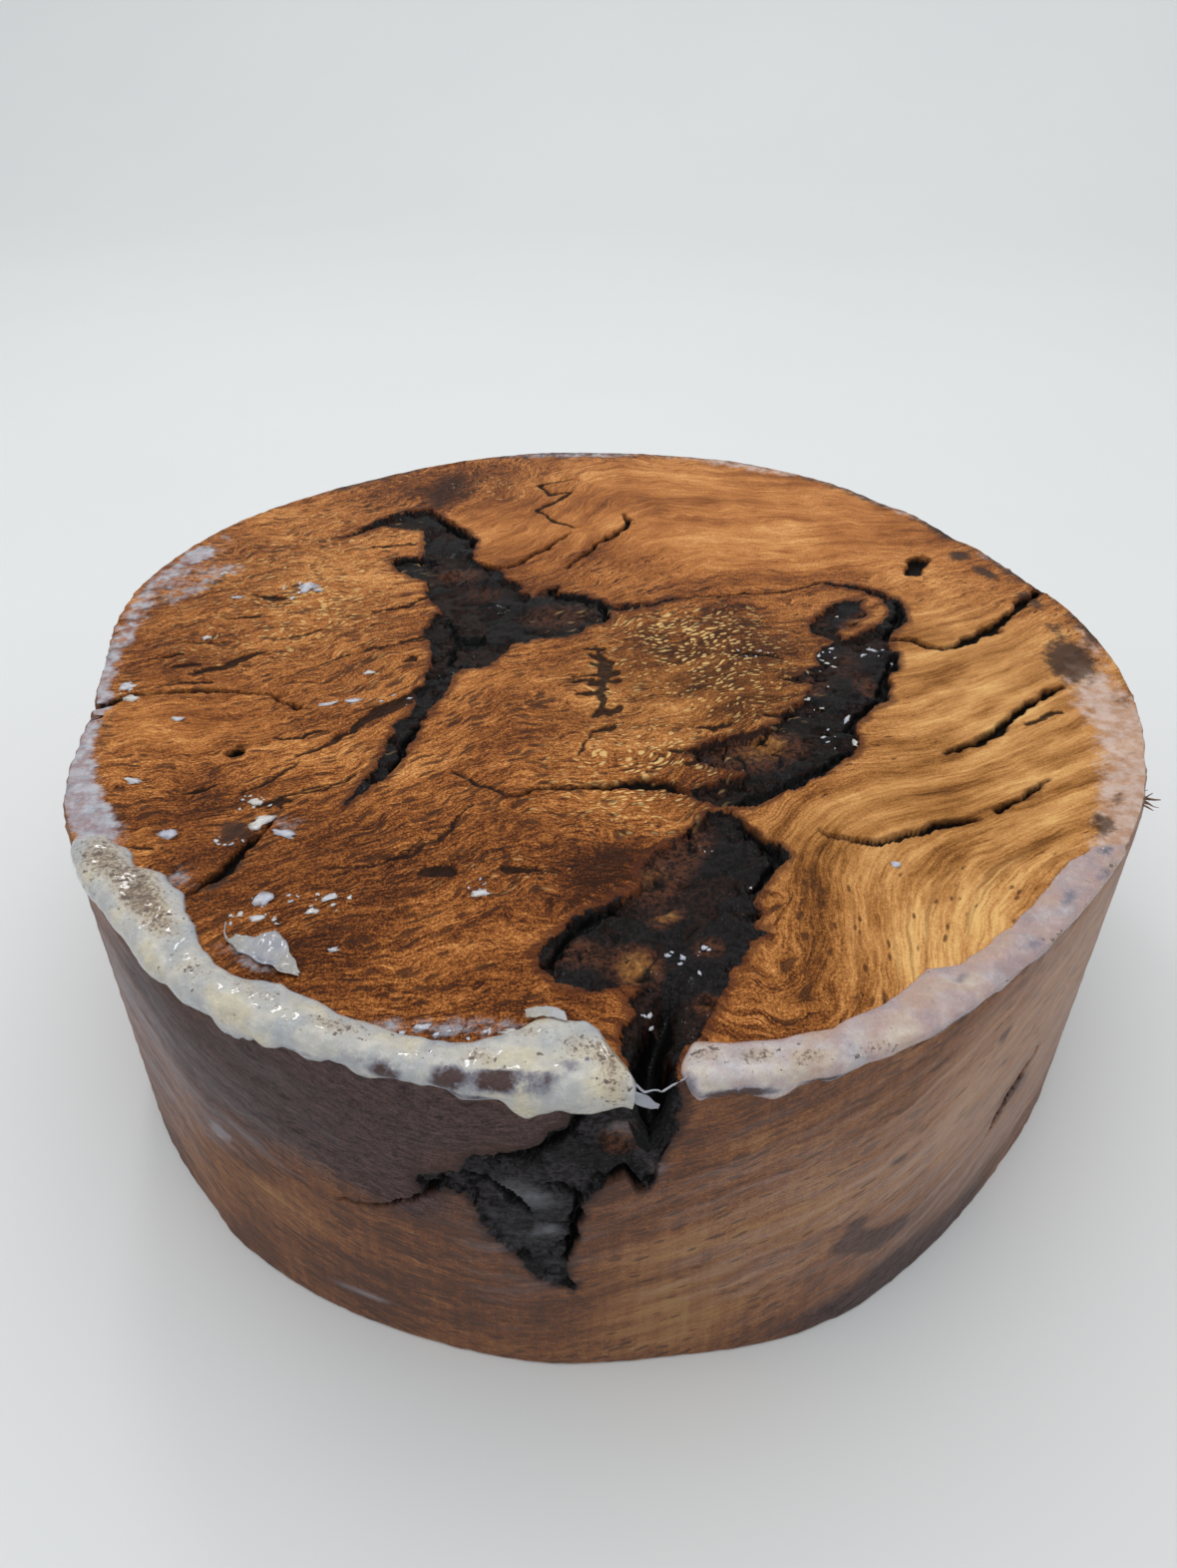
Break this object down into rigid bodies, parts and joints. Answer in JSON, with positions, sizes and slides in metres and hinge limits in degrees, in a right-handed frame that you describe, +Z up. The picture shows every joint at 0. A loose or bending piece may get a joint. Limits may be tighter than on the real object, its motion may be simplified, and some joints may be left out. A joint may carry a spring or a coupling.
{
  "type": "burl bowl blank",
  "caption": "Round slab sawn from a burl for turning a bowl, with black gum pockets, cracks and a run of sealing wax on its front rim.",
  "frame": {"origin": "middle of the whole blank, wax included, at its sawn bottom", "axes": "+Z up out of the sawn top, +Y to the back, -Y out of the split and gum-filled front side, +X to the right"},
  "size_m": [0.2924, 0.3116, 0.1019],
  "materials": {
    "burl_wood": "sawn and waxed, satin, orange-brown burl with black gum",
    "sealing_wax": "cloudy white wax, slightly glossy, dirt-speckled"
  },
  "bodies": {
    "root": {"burl_blank": "burl_wood", "rim_wax_left": "sealing_wax", "rim_wax_right": "sealing_wax"}
  },
  "joints": []
}
